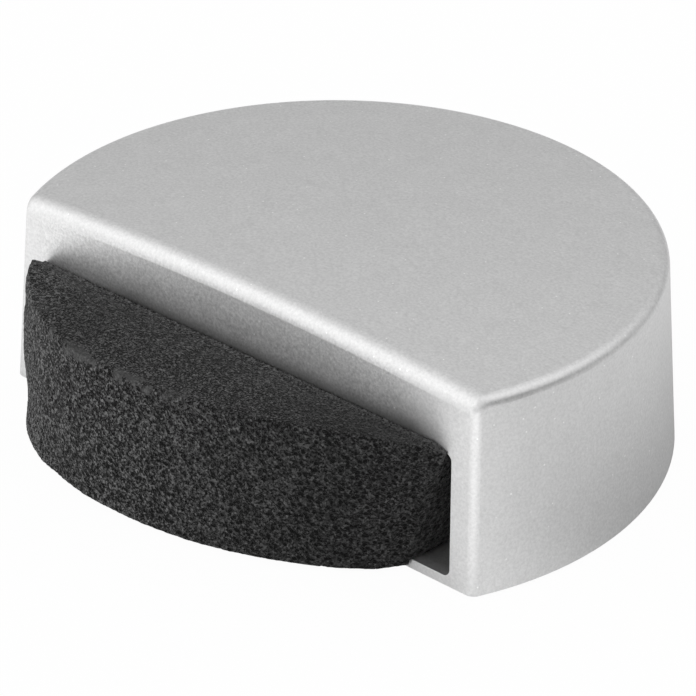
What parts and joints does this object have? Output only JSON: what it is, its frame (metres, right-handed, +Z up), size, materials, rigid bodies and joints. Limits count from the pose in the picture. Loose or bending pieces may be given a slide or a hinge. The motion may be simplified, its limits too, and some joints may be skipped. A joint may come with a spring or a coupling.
{
  "type": "half moon door stop",
  "caption": "Low half moon floor door stop: a satin cast metal body with a domed top and a curved dark foam buffer pressed into its flat front.",
  "frame": {"origin": "on the floor, at the underside of the adhesive pad, under the centre of the round back", "axes": "+Z up from the floor; -Y out of the flat front, towards the door; X along the flat front"},
  "size_m": [0.045, 0.0406, 0.0146],
  "materials": {
    "cast_metal": "satin",
    "foam": "matte",
    "adhesive_tape": "matte"
  },
  "bodies": {
    "root": {"body": "cast_metal", "buffer": "foam", "base_pad": "adhesive_tape"}
  },
  "joints": []
}
